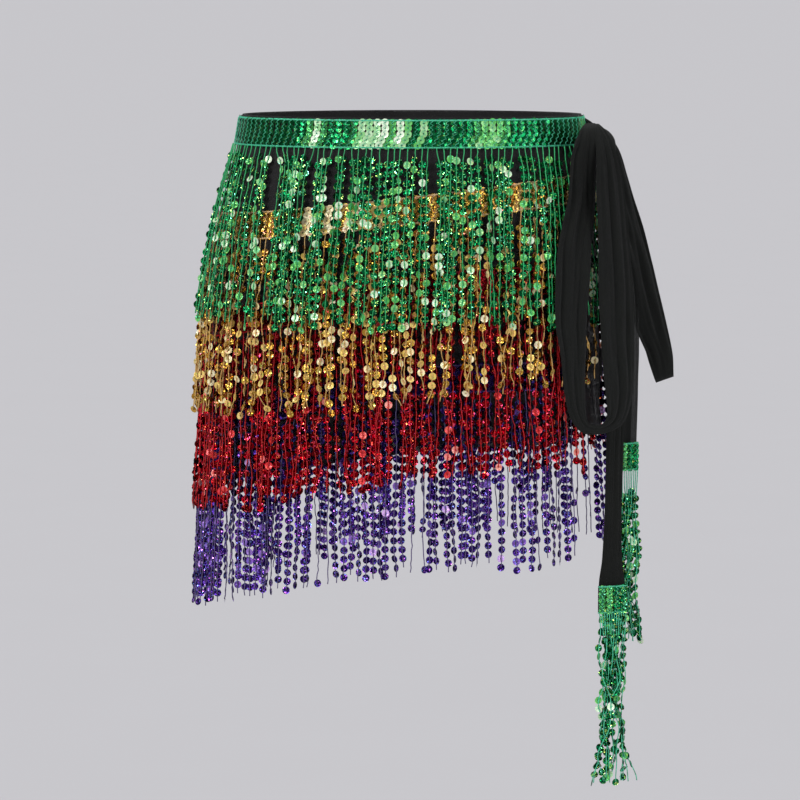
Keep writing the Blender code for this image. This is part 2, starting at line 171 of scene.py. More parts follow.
# Cuts across each strip of the bow: middle, width, heading from above, tilt, fold depth. The angles are in degrees
# and the rest is in tenths of a millimetre. STRIPS has them in metres.
STRIP_CUTS = {
    "loop_front": (
        (1490, -640, 75, 90, 20, 0, 4),
        (1468, -745, 27, 150, 22, 0, 8),
        (1451, -785, -74, 200, 28, 0, 14),
        (1434, -785, -174, 265, 32, 0, 20),
        (1428, -765, -290, 300, 38, 0, 24),
        (1425, -735, -400, 330, 42, 0, 26),
        (1424, -700, -540, 370, 46, 0, 30),
        (1398, -722, -740, 390, 43, 0, 30),
        (1357, -792, -980, 395, 40, 0, 30),
        (1335, -846, -1280, 375, 38, 0, 30),
        (1325, -879, -1600, 335, 36, 0, 26),
        (1347, -874, -1850, 280, 37, 2, 20),
        (1362, -858, -2100, 240, 38, 6, 16),
        (1388, -836, -2330, 185, 38, 24, 10),
        (1450, -795, -2470, 110, 40, 55, 6),
        (1545, -732, -2505, 80, 42, 90, 4),
        (1640, -652, -2495, 105, 45, 122, 6),
        (1728, -595, -2420, 230, 45, 152, 14),
        (1758, -580, -2220, 320, 42, 174, 20),
        (1745, -580, -1880, 355, 40, 180, 24),
        (1725, -595, -1400, 380, 40, 180, 26),
        (1698, -600, -850, 360, 42, 180, 26),
        (1660, -650, -440, 330, 44, 180, 22),
        (1642, -700, -275, 260, 40, 180, 18),
        (1626, -720, -174, 215, 35, 180, 16),
        (1600, -720, -74, 165, 33, 180, 10),
        (1560, -695, 27, 110, 30, 180, 6),
        (1525, -640, 70, 80, 28, 180, 4),
    ),
    "loop_side": (
        (1600, -380, 10, 140, 52, -8, 6),
        (1680, -290, -150, 260, 51, -4, 14),
        (1745, -225, -390, 290, 50, 4, 20),
        (1800, -165, -600, 325, 48, 0, 24),
        (1903, -80, -1000, 365, 44, 0, 28),
        (1990, -30, -1420, 365, 36, 0, 26),
        (2062, -5, -1700, 320, 28, 2, 20),
        (2147, 0, -1950, 235, 22, 8, 12),
        (2177, 10, -2120, 185, 20, 15, 4),
        (2187, 45, -2165, 170, 20, 16, 2),
        (2172, 80, -2110, 180, 20, 15, 4),
        (2120, 110, -1900, 220, 26, 8, 14),
        (2040, 130, -1500, 280, 36, 2, 22),
        (1945, 80, -1000, 280, 46, 0, 24),
        (1810, -60, -580, 200, 54, 0, 18),
        (1690, -190, -440, 130, 58, 0, 12),
        (1550, -340, -325, 80, 60, -8, 8),
        (1527, -368, -244, 60, 60, 28, 4),
    ),
    "tail_short": (
        (1519, -448, -290, 100, 50, 5, 6),
        (1600, -412, -420, 130, 49, 0, 8),
        (1680, -395, -600, 200, 48, 0, 18),
        (1780, -310, -1050, 270, 46, 0, 20),
        (1835, -255, -1600, 290, 42, 0, 20),
        (1827, -272, -2200, 280, 36, 0, 14),
        (1820, -280, -2640, 260, 34, 0, 6),
        (1820, -280, -2910, 260, 34, 0, 6),
    ),
    "tail_long": (
        (1546, -522, -291, 110, 48, 0, 6),
        (1655, -500, -600, 140, 46, 0, 12),
        (1730, -465, -1100, 170, 42, 0, 14),
        (1752, -455, -1800, 180, 36, 0, 14),
        (1732, -470, -2500, 170, 30, 0, 12),
        (1718, -480, -3200, 160, 24, 0, 10),
        (1710, -480, -3650, 180, 18, 0, 8),
        (1708, -480, -3850, 230, 16, 0, 4),
        (1708, -480, -4115, 230, 16, 0, 4),
    ),
    "tie_front": (
        (1462, -152, 0, 200, 20, 90, 4),
        (1502, -146, -20, 170, -20, 90, 6),
        (1527, -205, -60, 130, -65, 90, 6),
        (1544, -307, -100, 105, -80, 90, 4),
    ),
    "tie_back": (
        (1477, 86, 0, 200, 132, 90, 4),
        (1530, 50, -20, 175, 136, 90, 6),
        (1600, -105, -60, 140, 112, 90, 6),
        (1689, -323, -100, 105, 105, 90, 4),
    ),
}
STRIPS = {name: np.array(rows) / (1e4, 1e4, 1e4, 1e4, 1, 1, 1e4) for name, rows in STRIP_CUTS.items()}
STRIP_FOLDS = ((2.3, 0.36), (3.7, 0.22), (6.1, 0.10))
STRIP_CUT = 0.05
KNOT_MIDDLE = (0.1538, -0.0511, -0.0120)
KNOT_RADII = (0.0150, 0.0230, 0.0165)
KNOT_YAW = -33
TASSEL_WIDTH, TASSEL_STRINGS, TASSEL_LENGTH = 0.026, 12, 0.146
FOIL_WALL = 0.00012
HOLE_COLOUR = (0.004, 0.004, 0.004)
SHEER_FROM = 0.0375


# ---------------------------------------------------------------- the worn form


def smooth_step(share):
    share = np.clip(share, 0.0, 1.0)
    return share * share * (3 - 2 * share)


def unit(vectors):
    return vectors / np.maximum(np.linalg.norm(vectors, axis=-1, keepdims=True), 1e-12)


def turn(first, second, angle):
    """Two directions turned together by an angle, the first towards the second."""
    cosine, sine = np.cos(angle)[..., None], np.sin(angle)[..., None]
    return first * cosine + second * sine, second * cosine - first * sine


def smooth_noise(spread, count, steps, length):
    """Rows of gentle random waves, about length steps from crest to crest."""
    knots = max(int(steps / length) + 3, 4)
    values = spread.normal(0, 1, (count, knots))
    at = np.linspace(0, knots - 1.001, steps)
    low, part = at.astype(int), smooth_step(at - at.astype(int))
    return values[:, low] * (1 - part) + values[:, low + 1] * part


def smooth_rows(rows, at):
    """Every column of a table at any number of places, on a smooth curve through its rows."""
    ahead, behind = np.vstack([rows[1:], rows[-1:]]), np.vstack([rows[:1], rows[:-1]])
    slopes = (ahead - behind) / (ahead[:, :1] - behind[:, :1])
    way = math.copysign(1, rows[1, 0] - rows[0, 0])
    upper = np.clip(np.searchsorted(way * rows[:, 0], way * at, side="left") - 1, 0, len(rows) - 2)
    step = (rows[upper + 1, 0] - rows[upper, 0])[..., None]
    part = np.clip((at[..., None] - rows[upper, :1]) / step, 0, 1)
    square, cube = part**2, part**3
    return (
        (2 * cube - 3 * square + 1) * rows[upper]
        + (cube - 2 * square + part) * step * slopes[upper]
        + (3 * square - 2 * cube) * rows[upper + 1]
        + (cube - square) * step * slopes[upper + 1]
    )


def hip_section(z):
    """Half width, depth in front, depth behind and sideways shift at each height."""
    rows = smooth_rows(HIPS, np.asarray(z, float))
    return rows[..., 1], rows[..., 2], rows[..., 3], rows[..., 4]


def hip_points(angle, z, outward=0.0):
    """Points on the worn form or off it, with the outward directions there."""
    angle, z, outward = np.broadcast_arrays(*(np.asarray(part, float) for part in (angle, z, outward)))
    half, front, back, shift = hip_section(z)
    depth = np.where(np.sin(angle) > 0, back, front)
    out = unit(np.stack([np.cos(angle) / half, np.sin(angle) / depth, np.zeros_like(half)], -1))
    growth = smooth_step((FOLD_TOP - z) / (FOLD_TOP - FOLD_FULL))
    folds = sum(share * np.sin(count * angle + phase) for count, phase, share in FOLD_WAVES)
    flat = np.stack([shift + half * np.cos(angle), depth * np.sin(angle), z], -1)
    return flat + out * (outward + FOLD_DEPTH * growth * folds)[..., None], out


def waist_angles():
    angles = np.linspace(-FRONT_EDGE_ANGLE, BACK_EDGE_ANGLE - 2 * math.pi, 721)
    points, _ = hip_points(angles, 0.0)
    lengths = np.concatenate([[0.0], np.cumsum(np.linalg.norm(np.diff(points, axis=0), axis=1))])
    return lengths / lengths[-1], angles, lengths[-1]


WAIST_SHARES, WAIST_ANGLES, WAIST_LENGTH = waist_angles()


def wrap_angle(share, z):
    """The angle of a share of the wrap's width at a height; both edges swing back as the slit opens."""
    opening = 1 - np.exp(np.minimum(z, 0.0) / OPENING_DEPTH)
    swing = FRONT_OPENING * (1 - share) ** 2 - BACK_OPENING * share**2
    return np.interp(share, WAIST_SHARES, WAIST_ANGLES) - swing * opening


def wrap_points(share, z, outward=0.0):
    share, z = np.broadcast_arrays(np.asarray(share, float), np.asarray(z, float))
    return hip_points(wrap_angle(share, z), z, outward)


def height_at(share, foot, rise, reach):
    """The height of a lower edge that rises towards the knot on both sides."""
    return foot + rise * smooth_step(np.abs(2 * share - 1) / reach)


def hang_angles(angle, heights):
    """The angles that threads pass on their way down: each slides out square to the hip, not round it."""
    angles = [angle]
    for above, below in zip(heights.T, heights.T[1:]):
        half, front, back, _ = hip_section(above)
        wider, fuller, rounder, _ = hip_section(below)
        sine, cosine = np.sin(angle), np.cos(angle)
        depth, deeper = np.where(sine > 0, back, front), np.where(sine > 0, rounder, fuller)
        spread = half * (wider - half) - depth * (deeper - depth)
        angle = angle + spread * sine * cosine / ((half * sine) ** 2 + (depth * cosine) ** 2)
        angles.append(angle)
    return np.stack(angles, -1)


# ---------------------------------------------------------------- finishes


def new_material(name):
    made = bpy.data.materials.new(name)
    made.use_nodes = True
    tree = made.node_tree
    return made, tree, tree.nodes["Principled BSDF"]


def plug(tree, node, sockets):
    """Sets a node's sockets to plain values, or joins them to the sockets that are given."""
    for name, value in sockets.items():
        if hasattr(value, "links"):
            tree.links.new(value, node.inputs[name])
        else:
            node.inputs[name].default_value = value


def add_node(tree, kind, sockets=None, **settings):
    node = tree.nodes.new(kind)
    for key, value in settings.items():
        setattr(node, key, value)
    plug(tree, node, sockets or {})
    return node


def math_node(tree, operation, *values):
    """One step of arithmetic on sockets and plain numbers."""
    return add_node(tree, "ShaderNodeMath", dict(enumerate(values)), operation=operation).outputs[0]


def vector_node(tree, operation, sockets):
    return add_node(tree, "ShaderNodeVectorMath", sockets, operation=operation).outputs[0]


def object_place(tree):
    return add_node(tree, "ShaderNodeTexCoord").outputs["Object"]


def noise(tree, scale, detail):
    sockets = {"Scale": scale, "Detail": detail, "Vector": object_place(tree)}
    return add_node(tree, "ShaderNodeTexNoise", sockets).outputs["Fac"]


def opaque(colour):
    return colour if hasattr(colour, "links") else (*colour, 1.0)


def dimmed(colour, share):
    return [share * part for part in colour]


def mix_colours(tree, share, first, second):
    """The first colour where the share is 0 and the second where it is 1. Each is a socket or plain."""
    sockets = {0: share, 6: opaque(first), 7: opaque(second)}
    return add_node(tree, "ShaderNodeMix", sockets, data_type="RGBA").outputs[2]


def ramp(tree, source, low, high):
    """0 below low and 1 above high, straight between."""
    sockets = {"Value": source, "From Min": low, "From Max": high}
    return add_node(tree, "ShaderNodeMapRange", sockets, clamp=True).outputs["Result"]


def sequin_finish(name, deep, middle, half, lit, hues):
    """Holographic foil: a coloured mirror, a darker middle hole, and flecks that each face their own way. Its colour
    is painted shade, painted half light and a painted highlight of the one foil.
    """
    made, tree, shader = new_material(name)
    look = add_node(tree, "ShaderNodeAttribute", attribute_name="sequin")
    glint = look.outputs["Alpha"]
    light, tone_and_shade, reach = add_node(tree, "ShaderNodeSeparateColor", {0: look.outputs["Color"]}).outputs
    cells = {"Scale": 1150.0, "Vector": object_place(tree)}
    flecks = add_node(tree, "ShaderNodeTexVoronoi", cells).outputs["Color"]
    chance, hue_chance, rough_chance = add_node(tree, "ShaderNodeSeparateColor", {0: flecks}).outputs
    # Painted shade and highlights: the foil is mixed from its deep, middle, half and lit colours by each sequin's
    # painted light and tone, and the lit ones lose their mirror.
    half_lit = ramp(tree, light, 0.0, 0.5)
    lit_and_shaded_foil = mix_colours(tree, half_lit, mix_colours(tree, tone_and_shade, deep, middle), half)
    lit_and_shaded_foil = mix_colours(tree, ramp(tree, light, 0.5, 1.0), lit_and_shaded_foil, lit)
    # The flecks: the holographic foil's rainbow, painted bright as glints wherever they are.
    hue = math_node(tree, "MULTIPLY_ADD", hue_chance, hues, 0.5 - hues / 2)
    bright = {"Hue": hue, "Saturation": 0.96, "Value": 1.0 / max(half), "Color": opaque(half)}
    rainbow = add_node(tree, "ShaderNodeHueSaturation", bright).outputs[0]
    specks = math_node(tree, "MULTIPLY", ramp(tree, chance, 0.84, 0.87), glint)
    foil = mix_colours(tree, specks, lit_and_shaded_foil, rainbow)
    foil = mix_colours(tree, ramp(tree, reach, 0.16, 0.24), HOLE_COLOUR, foil)
    scatter = vector_node(tree, "SUBTRACT", {0: flecks, 1: (0.5, 0.5, 0.5)})
    tilt = vector_node(tree, "SCALE", {0: scatter, "Scale": math_node(tree, "MULTIPLY", glint, 0.66)})
    surface = add_node(tree, "ShaderNodeNewGeometry").outputs["Normal"]
    facing = vector_node(tree, "NORMALIZE", {0: vector_node(tree, "ADD", {0: tilt, 1: surface})})
    metal = math_node(tree, "MULTIPLY_ADD", half_lit, -0.9, 1.0)
    rough = math_node(tree, "MULTIPLY_ADD", rough_chance, 0.16, 0.14)
    plug(tree, shader, {"Base Color": foil, "Metallic": metal, "Roughness": rough, "Normal": facing})
    return made


def thread_finish(name, colour):
    """Shiny embroidery thread with a fine twist, whose darker patches along it are painted shade of the twist."""
    made, tree, shader = new_material(name)
    twist_shade = ramp(tree, noise(tree, 900.0, 1.0), 0.35, 0.65)
    strand = mix_colours(tree, twist_shade, dimmed(colour, 0.55), colour)
    sheen = {"Sheen Weight": 0.4, "Sheen Tint": opaque(colour)}
    plug(tree, shader, {"Base Color": strand, "Roughness": 0.38, **sheen})
    return made


def mesh_finish(name, colour, step, openness, soft, sheer_from=None):
    """Fine knitted mesh, read along the cloth's own width and length in metres, with see-through holes.

    Past sheer_from, across the cloth, it is one thin layer."""
    made, tree, shader = new_material(name)
    cloth = add_node(tree, "ShaderNodeUVMap", uv_map="cloth").outputs[0]
    across, along, _ = add_node(tree, "ShaderNodeSeparateXYZ", {0: cloth}).outputs
    turns = 2 * math.pi / step
    wales = math_node(tree, "SINE", math_node(tree, "MULTIPLY", across, turns))
    courses = math_node(tree, "SINE", math_node(tree, "MULTIPLY", along, turns * 0.8))
    cells = math_node(tree, "ABSOLUTE", math_node(tree, "MULTIPLY", wales, courses))
    holes = ramp(tree, cells, 0.30, 0.62)
    yarn = mix_colours(tree, noise(tree, 45.0, 3.0), dimmed(colour, 0.55), dimmed(colour, 1.5))
    # The holes are painted darker: painted shade seen through them.
    yarn = mix_colours(tree, math_node(tree, "MULTIPLY", holes, 0.5), yarn, dimmed(colour, 0.4))
    bump = {"Strength": 0.5, "Distance": 0.0002, "Height": math_node(tree, "SUBTRACT", 1.0, holes)}
    relief = add_node(tree, "ShaderNodeBump", bump).outputs[0]
    sheen = {"Sheen Weight": soft, "Sheen Roughness": 0.45, "Specular IOR Level": 0.25}
    plug(tree, shader, {"Base Color": yarn, "Roughness": 0.82, "Normal": relief, **sheen})
    if openness > 0:
        open_share = math_node(tree, "MULTIPLY", holes, openness)
        if sheer_from is not None:
            sheer = math_node(tree, "MULTIPLY", ramp(tree, across, sheer_from - 0.0004, sheer_from), 0.15)
            open_share = math_node(tree, "ADD", open_share, sheer)
        plug(tree, shader, {"Alpha": math_node(tree, "SUBTRACT", 1.0, open_share)})
    return made


# ---------------------------------------------------------------- making meshes


def finish_piece(piece, *nodes, slot=None):
    """What every piece needs: the body that it rides on and the solids that it stands for. Its slot is not used."""
    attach(piece, "root")
    if nodes:
        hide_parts(*nodes)
    return piece


def mesh_object(name, points, faces, finish, smooth=False):
    """An object from an array of points and an array of faces that all have as many corners."""
    mesh = bpy.data.meshes.new(name)
    faces = np.ascontiguousarray(faces, np.int32)
    mesh.vertices.add(len(points))
    mesh.vertices.foreach_set("co", np.ascontiguousarray(points, np.float32).ravel())
    mesh.loops.add(faces.size)
    mesh.loops.foreach_set("vertex_index", faces.ravel())
    mesh.polygons.add(len(faces))
    mesh.polygons.foreach_set("loop_start", np.arange(0, faces.size, faces.shape[1], dtype=np.int32))
    mesh.update(calc_edges=True)
    mesh.polygons.foreach_set("use_smooth", np.full(len(faces), smooth))
    mesh.materials.append(finish)
    made = bpy.data.objects.new(name, mesh)
    bpy.context.scene.collection.objects.link(made)
    return made


def only_select(piece):
    bpy.ops.object.select_all(action="DESELECT")
    piece.select_set(True)
    bpy.context.view_layer.objects.active = piece


def sheet_object(name, grid, across, along, finish, thickness):
    """A thin cloth through a grid of points, whose own width and length are kept as a UV map in metres."""
    rows, columns = grid.shape[:2]
    index = np.arange(rows * columns).reshape(rows, columns)
    faces = np.stack([index[:-1, :-1], index[:-1, 1:], index[1:, 1:], index[1:, :-1]], -1).reshape(-1, 4)
    made = mesh_object(name, grid.reshape(-1, 3), faces, finish, smooth=True)
    flat = np.stack(np.broadcast_arrays(across, along), -1).reshape(-1, 2)
    layer = made.data.uv_layers.new(name="cloth")
    layer.data.foreach_set("uv", flat[faces.ravel()].astype(np.float32).ravel())
    only_select(made)
    wall = made.modifiers.new("wall", "SOLIDIFY")
    wall.thickness, wall.offset = thickness, 0.0
    bpy.ops.object.modifier_apply(modifier=wall.name)
    return made


def face_outward(piece, centre):
    """Turns an open sheet so that its faces look away from the centre."""
    mesh = piece.data
    count = len(mesh.polygons)
    middles, normals = np.empty(count * 3, np.float32), np.empty(count * 3, np.float32)
    mesh.polygons.foreach_get("center", middles)
    mesh.polygons.foreach_get("normal", normals)
    if ((middles.reshape(-1, 3) - centre) * normals.reshape(-1, 3)).sum() < 0:
        mesh.flip_normals()


def sink_middle(dish, reach, depth):
    """Moves the chosen points of a dish that lie near its middle down."""
    shape = bmesh.from_edit_mesh(dish.data)
    for vert in shape.verts:
        vert.select_set(vert.select and vert.co.xy.length < reach)
    shape.select_flush_mode()
    bmesh.update_edit_mesh(dish.data)
    bpy.ops.transform.translate(value=(0, 0, -depth))


def model_sequin(width, cup):
    """One sequin: a shallow ten-sided dish that looks up, closed all over, as its points and triangles."""
    bpy.ops.object.select_all(action="DESELECT")
    bpy.ops.mesh.primitive_circle_add(vertices=10, radius=width / 2, fill_type="TRIFAN", location=(0, 0, 0))
    dish = bpy.context.object
    bpy.ops.object.mode_set(mode="EDIT")
    bpy.ops.mesh.select_mode(type="VERT")
    bpy.ops.mesh.select_all(action="SELECT")
    sink_middle(dish, width / 8, cup)
    bpy.ops.mesh.select_all(action="SELECT")
    bpy.ops.mesh.duplicate()
    bpy.ops.mesh.flip_normals()
    sink_middle(dish, width / 8, FOIL_WALL)
    bpy.ops.mesh.select_all(action="SELECT")
    bpy.ops.mesh.remove_doubles(threshold=1e-5)
    bpy.ops.object.mode_set(mode="OBJECT")
    points = np.array([vert.co for vert in dish.data.vertices])
    faces = np.array([face.vertices for face in dish.data.polygons])
    bpy.data.meshes.remove(dish.data)
    return points, faces


class Lay:
    """Where sequins lie: middles, three directions each, and how lit, how toned and how broken up each one is. How
    lit is a painted highlight, and the tone also holds painted shade.
    """

    def __init__(self):
        self.rows = []

    def add(self, middle, across, along, facing, light, tone_and_shade, glint):
        ways = [part.reshape(-1, 3) for part in (middle, across, along, facing)]
        self.rows.append(ways + [part.reshape(-1) for part in (light, tone_and_shade, glint)])

    def all(self):
        return [np.concatenate(parts) for parts in zip(*self.rows)]


def lay_sequins(name, lay, sequin, finish):
    """Copies of the one sequin at every place of a lay, as one mesh."""
    points, faces = sequin
    middle, across, along, facing, light, tone_and_shade, glint = lay.all()
    offsets = sum(points[None, :, i, None] * way[:, None] for i, way in enumerate((across, along, facing)))
    placed = middle[:, None] + offsets
    corners = faces[None] + len(points) * np.arange(len(middle))[:, None, None]
    made = mesh_object(name, placed.reshape(-1, 3), corners.reshape(-1, 3), finish)
    reach = np.linalg.norm(points[:, :2], axis=1)
    look = np.broadcast_arrays(light[:, None], tone_and_shade[:, None], reach[None] / reach.max(), glint[:, None])
    layer = made.data.attributes.new("sequin", "FLOAT_COLOR", "POINT")
    layer.data.foreach_set("color", np.stack(look, -1).astype(np.float32).ravel())
    return made


def thread_mesh(lines, outs, radius):
    """Closed three-sided threads along lines of points, as points and triangles."""
    count, steps = lines.shape[:2]
    ways = unit(np.gradient(lines, axis=1))
    side = unit(np.cross(ways, outs))
    top = unit(np.cross(side, ways))
    turns = 2 * math.pi * np.arange(3) / 3 + math.pi / 2
    ring = side[:, :, None] * np.cos(turns)[:, None] + top[:, :, None] * np.sin(turns)[:, None]
    points = lines[:, :, None] + ring * radius
    index = np.arange(count * steps * 3).reshape(count, steps, 3)
    one, two = index[:, :-1], index[:, 1:]
    one_next, two_next = np.roll(one, -1, 2), np.roll(two, -1, 2)
    walls = [np.stack(corners, -1).reshape(-1, 3) for corners in ((one, one_next, two_next), (one, two_next, two))]
    return points.reshape(-1, 3), np.concatenate([*walls, index[:, 0, [0, 2, 1]], index[:, -1]])


def thread_object(name, parts, finish):
    """Threads joined as one mesh, with its faces outward."""
    starts = np.cumsum([0] + [len(points) for points, _ in parts])
    points = np.concatenate([points for points, _ in parts])
    faces = np.concatenate([corners + start for (_, corners), start in zip(parts, starts)])
    made = mesh_object(name, points, faces, finish, smooth=True)
    volume = np.einsum("ij,ij->", points[faces[:, 0]], np.cross(points[faces[:, 1]], points[faces[:, 2]]))
    if volume < 0:
        made.data.flip_normals()
    return made


# ---------------------------------------------------------------- the sewn pieces


def edge_stitches(place, width, step, lift):
    """The chain stitch on both edges of a band: two strands that cross from side to side along it."""
    run = np.arange(0, width, step)
    beat = np.arange(len(run)) * (math.pi / 2)
    parts = []
    for height in (EDGE_INSET, BAND_HEIGHT - EDGE_INSET):
        points, outs, right = place(run, np.full(len(run), height), lift)
        ups = unit(np.cross(right, outs))
        for phase in (0.0, math.pi):
            swing = ups * (np.sin(beat + phase) * EDGE_SWING)[:, None]
            line = points + swing + outs * (0.00012 * np.cos(2 * beat + phase))[:, None]
            parts.append(thread_mesh(line[None], outs[None], EDGE_RADIUS))
    return parts


def glow_at(patches, shares):
    """How brightly a band's columns are painted as shining along it: painted highlights on a few patches, as if they
    faced the light.
    """
    glows = [strength * np.exp(-(((shares - middle) / half) ** 4)) for middle, half, strength in patches]
    return np.max([np.zeros_like(shares), *glows], axis=0)


def band_lay(lay, threads, place, width, sizes, spread, look):
    """The columns of overlapping sequins on a band, with the zigzag thread that holds each column.

    place(distance, height, outward) gives points, outward directions and directions along the band."""
    columns = max(int(round(width / sizes.column_step)), 1)
    shape = (columns, BAND_ROWS)
    middles = (np.arange(columns) + 0.5) / columns * width
    distances = middles[:, None] + spread.normal(0, 0.00018, shape)
    heights = FIRST_ROW + ROW_STEP * np.arange(BAND_ROWS)[None] + spread.normal(0, 0.0002, shape)
    middle, out, right = place(distances, heights, 0.0009)
    up = unit(np.cross(out, right))
    up = np.where(up[..., 2:] < 0, -up, up)
    yaw = np.radians(spread.normal(0, 3, (columns, 1)) + spread.normal(0, 3, shape))
    right, facing = turn(right, out, yaw)
    up, facing = turn(up, unit(facing), np.radians(7 + spread.normal(0, 3, shape)) * -1)
    right, up = turn(right, up, spread.uniform(0, 2 * math.pi, shape))
    # Painted highlights on the glowing patches; the tone is darker on bands that lie under a fringe, as painted
    # shade.
    glow = glow_at(BAND_GLOW[look], middles / width)[:, None]
    light = np.clip(glow * (1 + spread.normal(0, 0.16, shape)), 0, 1)
    tone_and_shade = spread.normal(BAND_TONE_AND_SHADE[look], 0.12, shape) + spread.normal(0, 0.10, (columns, 1))
    lay.add(middle, right, up, facing, light, np.clip(tone_and_shade, 0, 1), np.full(shape, BAND_GLINT[look]))
    sway = np.where(np.arange(ZIGZAG_TURNS) % 2 == 0, -1, 1) * ZIGZAG_SWAY
    down = np.linspace(0.0012, BAND_HEIGHT - 0.0012, ZIGZAG_TURNS)
    line, out, _ = place(middles[:, None] + sway[None], down[None] + np.zeros((columns, 1)), 0.0017)
    threads.append(thread_mesh(line, out, ZIGZAG_RADIUS))


def string_lay(lay, threads, path, outs, mood, sizes, spread, first):
    """Sequins and thread down each string. path holds points at every half step, from the root down."""
    count, steps = path.shape[:2]
    places = np.arange(first, steps, 2)
    middle, out = path[:, places], outs[:, places]
    along = unit(path[:, places - 1] - path[:, np.minimum(places + 1, steps - 1)])
    right = unit(np.cross(along, out))
    facing = unit(np.cross(right, along))
    shape = middle.shape[:2]
    own = spread.normal(0, 0.55, (count, 1)) + 0.35 * np.cumsum(spread.normal(0, 0.6, shape), axis=1)
    yaw = np.radians(mood.yaw) * (own + spread.normal(0, mood.own_turn, shape))
    right, facing = turn(right, facing, yaw)
    along, facing = turn(along, facing, np.radians(spread.normal(0, mood.nod, shape)))
    right = np.where((spread.random(shape) < 0.5)[..., None], right, -right)
    along, right = turn(along, right, spread.uniform(0, 2 * math.pi, shape))

    # Painted highlights: some sequins are painted as facing the light, some as half facing it, and few under the
    # fringe above, where painted shade also darkens their tone and thins their glints.
    lucky, fully, partly = spread.random(shape), spread.uniform(0.75, 1.0, shape), spread.uniform(0.3, 0.6, shape)
    light = np.where(lucky < mood.full, fully, np.where(lucky < mood.full + mood.part, partly, 0.0))
    below = smooth_step((np.arange(shape[1]) / shape[1] - 0.34) / 0.16)
    under_fringe_shade = mood.shade * (1 - below)[None] + np.zeros(shape)
    light = np.where(spread.random(shape) < under_fringe_shade, 0.0, light)
    tone_and_shade = np.clip(spread.normal(0.42, 0.24, shape), 0, 1) * (1 - 0.8 * under_fringe_shade)
    glint = 1 - 0.8 * under_fringe_shade

    # The lowest sequins have come off, more of them on the bare strings.
    thin = smooth_noise(spread, 1, count, 2.5)[0]
    bare_here = thin > np.quantile(thin, 1 - mood.bare)
    lost = np.where(bare_here, spread.integers(5, 14, count), spread.integers(0, 2, count))
    keep = np.arange(shape[1])[None] < (shape[1] - lost)[:, None]
    keep |= (spread.random(shape) < 0.12) & (lost[:, None] > 3)
    middle = middle + facing * 0.0001
    lay.add(*(part[keep] for part in (middle, right, along, facing, light, tone_and_shade, glint)))
    threads.append(thread_mesh(path + outs * 0.0006, outs, sizes.thread / 2))


def fringe_path(tier, sizes, spread):
    """The strings of a tier's fringe, as points at every half step down each, with outward directions."""
    colour, _, foot, rise, reach = tier
    mood = STRING_MOODS[colour]
    count = int(round(sizes.strings * mood.plenty))
    share = (np.arange(count) + 0.5 + spread.normal(0, 0.10, count)) / count
    if colour in STRING_CROWD:
        middle, half, denser = STRING_CROWD[colour]
        across = np.linspace(0, 1, 401)
        crowd = np.cumsum(1 + denser * np.exp(-(((across - middle) / half) ** 2)))
        share = np.interp(share, (crowd - crowd[0]) / (crowd[-1] - crowd[0]), across)
    gather = smooth_noise(spread, 1, count, 4)[0]
    top = height_at(share, foot, rise, reach) + 0.0004
    half_step = sizes.string_step / 2
    steps = int(round((FRINGE_LENGTH - 0.001) / half_step)) + 1
    drop = np.arange(steps) * half_step
    stretch = 1 + spread.normal(0, 0.008, count) - 0.02 * (spread.random(count) < 0.12)
    late = spread.uniform(-half_step, half_step, count)
    heights = top[:, None] - drop[None] * stretch[:, None] - late[:, None] * smooth_step(np.arange(steps) / 3)[None]
    angles = hang_angles(wrap_angle(share, top), heights)
    part = drop / FRINGE_LENGTH
    stand_off = FRINGE_ROOT + FRINGE_LEAN * drop[None] + 0.0007 * smooth_noise(spread, count, steps, 14) * part[None]
    points, outs = hip_points(angles, heights, stand_off)
    right = np.stack([-outs[..., 1], outs[..., 0], np.zeros(outs.shape[:2])], -1)

    # Each string wanders, leans to its bunch, kinks and keeps clear of the gaps.
    own = smooth_noise(spread, 1, count, 2.2)[0] * 0.9 + spread.normal(0, 0.5, count)
    waves = 0.55 * smooth_noise(spread, count, steps, 9) * smooth_step(part * 3)[None]
    sideways = mood.wander * (own[:, None] * part[None] ** 0.8 + waves)
    sideways += mood.bunching * gather[:, None] * (0.5 * smooth_step(drop / 0.014) + 0.5 * part)[None]
    sideways += spread.normal(0, 0.00028, (count, steps)) * smooth_step(drop / 0.006)[None]
    for middle, half in STRING_GAPS.get(colour, ()):
        off = (share - middle) * WAIST_LENGTH
        push = np.sign(off) * half * np.exp(-np.abs(off) / (1.5 * half))
        fade = smooth_step(drop / 0.02) * (1 - 0.7 * smooth_step((drop - 0.07) / 0.04))
        sideways -= push[:, None] * fade[None]
    if colour == "gold":
        sideways += 0.0022 * smooth_noise(spread, count, steps, 4) * smooth_step((part - 0.8) / 0.2)[None]
    return points + right * sideways[..., None], outs


def finish_band(node, tape, lay, threads, sewn, colour, finishes, sequin):
    """A band's sequins and threads as pieces of their own, and its tape, the sheet that carries them."""
    sequins = lay_sequins(f"{node}_sequins", lay, sequin, finishes[colour])
    strands = thread_object(f"{node}_{sewn}", threads, finishes[f"{colour}_edge"])
    finish_piece(tape, node, slot=f"{colour}_sequins")
    for piece in (sequins, strands):
        finish_piece(piece, slot=f"{colour}_sequins")


